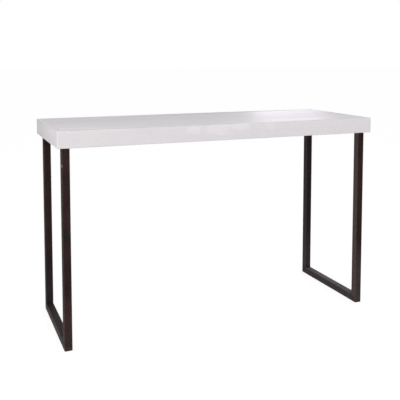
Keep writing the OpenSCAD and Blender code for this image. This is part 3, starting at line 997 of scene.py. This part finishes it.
weld_bead, given, result = new_group(
    "Weld bead",
    [
        ("Geometry", GEOMETRY, None),
        ("Length", FLOAT, CORNER_BEAD),
        ("Radius", FLOAT, WELD_RADIUS),
        ("Ripple Pitch", FLOAT, 0.0021),
        ("Ripple Depth", FLOAT, 0.13),
        ("Ripple Bow", FLOAT, 0.0016),
        ("Finish", MATERIAL, None),
    ],
    [("Geometry", GEOMETRY)],
    "GeometryNodeTree",
)
grid, along, around = blank_grid(weld_bead, BEAD_STEPS + 1, BEAD_ARC + 3)
run = times(weld_bead, along, given["Length"])
arc_number = row_number(weld_bead, around, BEAD_ARC + 3)
on_arc = maths(weld_bead, "LESS_THAN", arc_number, BEAD_ARC + 0.5)
arc_angle = times(weld_bead, times(weld_bead, arc_number, math.pi / 2 / BEAD_ARC), on_arc)
in_corner = maths(weld_bead, "COMPARE", arc_number, BEAD_ARC + 1.0, 0.1)
bow = maths(weld_bead, "SINE", times(weld_bead, arc_angle, 2.0))
bowed_run = maths(weld_bead, "MULTIPLY_ADD", bow, given["Ripple Bow"], run)
ripple = maths(weld_bead, "FRACT", maths(weld_bead, "DIVIDE", bowed_run, given["Ripple Pitch"]))
ripple_cut = times(weld_bead, times(weld_bead, ripple, ripple), given["Ripple Depth"])
from_middle = times(weld_bead, maths(weld_bead, "ABSOLUTE", along), 2.0)
end_fall = maths(weld_bead, "POWER", from_middle, BEAD_END_SQUARENESS)
end_round = maths(weld_bead, "SQRT", maths(weld_bead, "SUBTRACT", 1.0, end_fall, clamp=True))
bead_radius = times(weld_bead, given["Radius"], maths(weld_bead, "SUBTRACT", 1.0, ripple_cut))
bead_radius = times(weld_bead, bead_radius, end_round)
bead_radius = times(weld_bead, bead_radius, maths(weld_bead, "SUBTRACT", 1.0, in_corner))
bead_place = combined(
    weld_bead,
    run,
    times(weld_bead, bead_radius, maths(weld_bead, "COSINE", arc_angle)),
    times(weld_bead, bead_radius, maths(weld_bead, "SINE", arc_angle)),
)
named = "GeometryNodeInputNamedAttribute"
facing = put(weld_bead, named, {"Name": "facing"}, data_type="FLOAT_VECTOR").outputs[0]
stretch = put(weld_bead, named, {"Name": "stretch"}, data_type="FLOAT").outputs[0]
stretched = combined(weld_bead, stretch, 1.0, 1.0)
beads = set_out(weld_bead, grid, bead_place, given["Geometry"], given["Finish"], facing, stretched)
set_inputs(weld_bead, result, {"Geometry": beads})


def bead_facing(along, first, second):
    """The turn that lays a bead along one direction, in the corner open towards two others."""
    if Vector(along).cross(Vector(first)).dot(Vector(second)) < 0:
        first, second = second, first
    return tuple(Matrix((along, first, second)).transposed().to_euler())


for side, inward in (("left", 1), ("right", -1)):
    leg_low, leg_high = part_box(side + "_front_leg")
    top_low, top_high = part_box(side + "_top_rail")
    bottom_rail_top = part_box(side + "_bottom_rail")[1].z
    bar_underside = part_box(side + "_fixing_bar")[0].z
    middle = (leg_low.x + leg_high.x) / 2
    spots, facings, stretches = [], [], []
    for across in (-1, 1):
        for level, up in ((bottom_rail_top, 1), (top_low.z, -1)):
            spots.append((middle, across * -leg_high.y, level))
            facings.append(bead_facing((1, 0, 0), (0, -across, 0), (0, 0, up)))
            stretches.append(1.0)
    for across in (-STITCH_SPACING, 0.0, STITCH_SPACING):
        spots.append((top_high.x if inward > 0 else top_low.x, across, bar_underside))
        facings.append(bead_facing((0, 1, 0), (inward, 0, 0), (0, 0, -1)))
        stretches.append(STITCH_BEAD / CORNER_BEAD)
    welds = grow(f"steel_{side}_welds", spots, weld_bead, facings, stretches, Finish=lacquered_steel)
    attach(welds, BODY)
    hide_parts(side + "_frame_welds")

# Fixing bars: a flat steel bar along each top rail, slotted across the table so that the timber can
# swell and shrink. They are sawn, filed at the edges and lacquered with the frames.
SLOT_END_DISTANCE = 0.020
SLOT_WIDTH = 0.0054
SLOT_PLAY = 0.006
SLOT_PATCH = 0.020
SLOT_TURNS = 24
BAR_MESH_STEP = 0.012
BAR_CORNER = math.radians(60)
BAR_EASING = 0.0006
BAR_EASING_PARTS = 2
BAR_FILED_EDGE = 0.001
BAR_BROWNING = 0.7
NOTHING = 1e-6


def slotted_bar(name, low, high, slots):
    """A flat bar between two corners, with a rounded slot at each of these places along it."""
    centre = (low.x + high.x) / 2
    half = (high.x - low.x) / 2
    shape = bmesh.new()
    points = {}

    def point(x, y):
        key = (round(x, 6), round(y, 6))
        if key not in points:
            points[key] = shape.verts.new((centre + x, y, low.z))
        return points[key]

    lanes = [half * math.tan(math.radians(a)) for a in range(-45, 46, 360 // SLOT_TURNS)]
    edges = [low.y] + [y + s * SLOT_PATCH for y in sorted(slots) for s in (-1, 1)] + [high.y]
    for start, stop in zip(edges[::2], edges[1::2]):
        parts = round((stop - start) / BAR_MESH_STEP)
        run = [start + (stop - start) * i / parts for i in range(parts + 1) if parts]
        for y0, y1 in zip(run, run[1:]):
            for x0, x1 in zip(lanes, lanes[1:]):
                shape.faces.new((point(x0, y0), point(x1, y0), point(x1, y1), point(x0, y1)))
    for y in slots:
        rim, hole = [], []
        for i in range(SLOT_TURNS):
            a = 2 * math.pi * i / SLOT_TURNS
            c, s = math.cos(a), math.sin(a)
            reach = min(half / max(abs(c), NOTHING), SLOT_PATCH / max(abs(s), NOTHING))
            rim.append(point(reach * c, y + reach * s))
            lean = SLOT_PLAY / 2 * (1 if s > NOTHING else -1 if s < -NOTHING else 0)
            hole.append(point(SLOT_WIDTH / 2 * c, y + SLOT_WIDTH / 2 * s + lean))
        for i in range(SLOT_TURNS):
            j = (i + 1) % SLOT_TURNS
            shape.faces.new((rim[i], rim[j], hole[j], hole[i]))
    sheet = bmesh.ops.extrude_face_region(shape, geom=shape.faces[:])
    for item in sheet["geom"]:
        if isinstance(item, bmesh.types.BMVert):
            item.co.z = high.z
    bmesh.ops.recalc_face_normals(shape, faces=shape.faces[:])
    sharp = [e for e in shape.edges if e.calc_face_angle(0.0) > BAR_CORNER]
    ease(shape, sharp, BAR_EASING, BAR_EASING_PARTS)
    grain = shape.verts.layers.float_vector.new("grain")
    edge_layer, browned_layer = number_layers(shape, "edge", "browned")
    for v in shape.verts:
        to_edge = min(abs(v.co.x - low.x), abs(v.co.x - high.x))
        v[grain] = Vector((v.co.y, v.co.x, v.co.z)) + low
        v[edge_layer] = 1.0 if to_edge < BAR_FILED_EDGE else 0.0
        v[browned_layer] = BAR_BROWNING
    bar = make_object(name, shape, lacquered_steel)
    bar.data.shade_smooth()
    bar.data.set_sharp_from_angle(angle=SHARP_ANGLE)
    return bar


slot_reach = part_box("left_fixing_bar")[1].y - SLOT_END_DISTANCE
slot_places = [slot_reach * (i - 2) / 2 for i in range(5)]
for side in ("left", "right"):
    low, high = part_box(side + "_fixing_bar")
    bar = slotted_bar(f"steel_{side}_fixing_bar", low, high, slot_places)
    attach(bar, BODY)
    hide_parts(side + "_fixing_bar")

# Fixing screws: ten zinc plated round-headed screws, up through the middle of the fixing bars' slots
# into the deck, snug but not tight.
ROUND_HEAD_RIM = 0.0009
bar_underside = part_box("left_fixing_bar")[0].z
screw_low, screw_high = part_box("fixing_screws")
fixing_points = []
for side in ("left", "right"):
    low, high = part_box(side + "_fixing_bar")
    fixing_points += [((low.x + high.x) / 2, y, low.z) for y in slot_places]
fixing_screws = grow(
    "zinc_fixing_screws",
    fixing_points,
    turned_part,
    Head_Rise=bar_underside - screw_low.z,
    Rim_Height=ROUND_HEAD_RIM,
    Sink_Depth=0.0,
    Length=screw_high.z - bar_underside,
    Seed=8,
    Finish=zinc,
)
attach(fixing_screws, BODY)
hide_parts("fixing_screws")

# Glides: four moulded nylon buttons, two pressed by their stems into holes under each bottom rail, with
# a shallow gate mark in the middle of each.
GLIDE_RIM = 0.0012
GLIDE_STEM_RADIUS = 0.004
GATE_MARK_RADIUS = 0.0022
GATE_MARK_DEPTH = 0.0003
NYLON_BLACK = (0.018, 0.018, 0.019, 1.0)
NYLON_SPECK = (0.030, 0.030, 0.031, 1.0)
NYLON_SCUFF = (0.055, 0.053, 0.050, 1.0)

nylon, tree, shader = new_material("black_nylon")
where = object_place(tree)
speckle = clouds(tree, where, size=0.0015, contrast=2.0)
scuffs = clouds(tree, where, size=0.006, contrast=3.0)
nylon_inputs = {
    "Base Color": glaze(tree, tint(tree, speckle, NYLON_BLACK, NYLON_SPECK), scuffs, 0.4, NYLON_SCUFF),
    "Roughness": fade(tree, scuffs, 0.0, 1.0, 0.48, 0.66),
    "Normal": raised(tree, speckle, 0.5, 0.00008),
}
set_inputs(tree, shader, nylon_inputs)
for number, side in enumerate(("left", "right")):
    low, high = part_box(side + "_glides")
    rail_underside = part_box(side + "_bottom_rail")[0].z
    pad_radius = (high.x - low.x) / 2
    ends = (low.y + pad_radius, high.y - pad_radius)
    centres = [((low.x + high.x) / 2, y, rail_underside) for y in ends]
    glides = grow(
        f"nylon_{side}_glides",
        centres,
        turned_part,
        Head_Radius=pad_radius,
        Head_Rise=rail_underside - low.z,
        Rim_Height=GLIDE_RIM,
        Sink_Depth=0.0,
        Neck_Radius=GLIDE_STEM_RADIUS,
        Length=high.z - rail_underside,
        Recess_Radius=GATE_MARK_RADIUS,
        Recess_Depth=GATE_MARK_DEPTH,
        Recess_Lobes=0.0,
        Seed=20 + number,
        Finish=nylon,
    )
    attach(glides, BODY)
    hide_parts(side + "_glides")

# Studio floor: one large pale sheet, which shows as near white and keeps the table's own soft shadow,
# and which is clear from below.
FLOOR_REACH = 60.0
FLOOR_PARTS = 8
FLOOR_LIT = (0.80, 0.80, 0.80, 1.0)
FLOOR_FAINT = (0.24, 0.24, 0.24, 1.0)
FLOOR_GLOW = 0.86
PURE_WHITE = (1.0, 1.0, 1.0, 1.0)


def seen_rays(tree):
    """1 for the rays that show a surface, in plain view, in a reflection or through glass."""
    rays = put(tree, "ShaderNodeLightPath").outputs
    seen = maths(tree, "MAXIMUM", rays["Is Camera Ray"], rays["Is Glossy Ray"])
    return maths(tree, "MAXIMUM", seen, rays["Is Transmission Ray"])


shape = bmesh.new()
bmesh.ops.create_grid(shape, x_segments=FLOOR_PARTS, y_segments=FLOOR_PARTS, size=FLOOR_REACH)
floor_paint = bpy.data.materials.new("studio_floor")
floor_paint.use_nodes = True
floor = make_object("studio_floor", shape, floor_paint)
tree = floor_paint.node_tree
tree.nodes.clear()
lit = put(tree, "ShaderNodeBsdfDiffuse", {"Color": FLOOR_LIT}).outputs[0]
lit_faint = put(tree, "ShaderNodeBsdfDiffuse", {"Color": FLOOR_FAINT}).outputs[0]
glow = put(tree, "ShaderNodeEmission", {"Color": PURE_WHITE, "Strength": FLOOR_GLOW}).outputs[0]
pale = put(tree, "ShaderNodeAddShader", {0: lit_faint, 1: glow}).outputs[0]
above = put(tree, "ShaderNodeMixShader", {0: seen_rays(tree), 1: lit, 2: pale}).outputs[0]
from_below = put(tree, "ShaderNodeNewGeometry").outputs["Backfacing"]
clear = put(tree, "ShaderNodeBsdfTransparent").outputs[0]
floor_shader = put(tree, "ShaderNodeMixShader", {0: from_below, 1: above, 2: clear}).outputs[0]
put(tree, "ShaderNodeOutputMaterial", {"Surface": floor_shader})

# Studio light: a pale room, a large soft lamp at the front left, a small one close to the left end, and
# a low soft panel behind the right end, whose reflection brightens that part of the satin top.
ROOM_COLOUR = (0.97, 0.97, 1.0, 1.0)
ROOM_STRENGTH = 0.55

world = bpy.data.worlds.new("studio_world")
bpy.context.scene.world = world
world.use_nodes = True
tree = world.node_tree
tree.nodes.clear()
room = put(tree, "ShaderNodeBackground", {"Color": ROOM_COLOUR, "Strength": ROOM_STRENGTH}).outputs[0]
backdrop = put(tree, "ShaderNodeBackground", {"Color": PURE_WHITE, "Strength": 1.0}).outputs[0]
sky = put(tree, "ShaderNodeMixShader", {0: seen_rays(tree), 1: room, 2: backdrop}).outputs[0]
put(tree, "ShaderNodeOutputWorld", {"Surface": sky})


def soft_lamp(name, place, target, size, power, colour):
    """A rectangular soft lamp that shines at a target."""
    lamp = bpy.data.lights.new(name, "AREA")
    lamp.shape = "RECTANGLE"
    lamp.size, lamp.size_y = size
    lamp.energy = power
    lamp.color = colour
    holder = add_object(name, lamp)
    holder.location = place
    holder.rotation_euler = (Vector(target) - Vector(place)).to_track_quat("-Z", "Y").to_euler()
    holder.visible_camera = False


soft_lamp(
    "front_lamp",
    place=(-1.2, -8.9, 4.2),
    target=(0.0, 0.0, 0.8),
    size=(4.0, 3.2),
    power=343.0,
    colour=(1.0, 0.985, 0.965),
)
soft_lamp(
    "left_lamp",
    place=(-1.75, -0.42, 1.25),
    target=(-0.9, -0.42, 1.0),
    size=(0.3, 0.6),
    power=2.9,
    colour=(1.0, 0.99, 0.985),
)
soft_lamp(
    "rear_panel",
    place=(2.235, 2.95, 1.62),
    target=(0.5, 0.2, 1.1),
    size=(0.80, 1.0),
    power=7.5,
    colour=(0.94, 0.905, 1.03),
)

# Camera: at the photograph's place, a little above the top and to the left, with a slightly long lens.
# The lens is shifted down more than the camera is tilted, so the legs stand nearly upright in view.
FILM_WIDTH = 36.0
FOCAL_LENGTH = 58.86
LENS_SHIFT = -0.2412
CAMERA_PLACE = (-1.4293, -3.4447, 1.4653)
CAMERA_TILT = 0.07528
CAMERA_TURN = 0.38529

camera_data = bpy.data.cameras.new("camera")
camera_data.sensor_width = FILM_WIDTH
camera_data.lens = FOCAL_LENGTH
camera_data.shift_y = LENS_SHIFT
camera = add_object("camera", camera_data)
camera.location = CAMERA_PLACE
camera.rotation_euler = (math.pi / 2 - CAMERA_TILT, 0.0, -CAMERA_TURN)
bpy.context.scene.camera = camera
bpy.context.scene.view_settings.view_transform = "Standard"
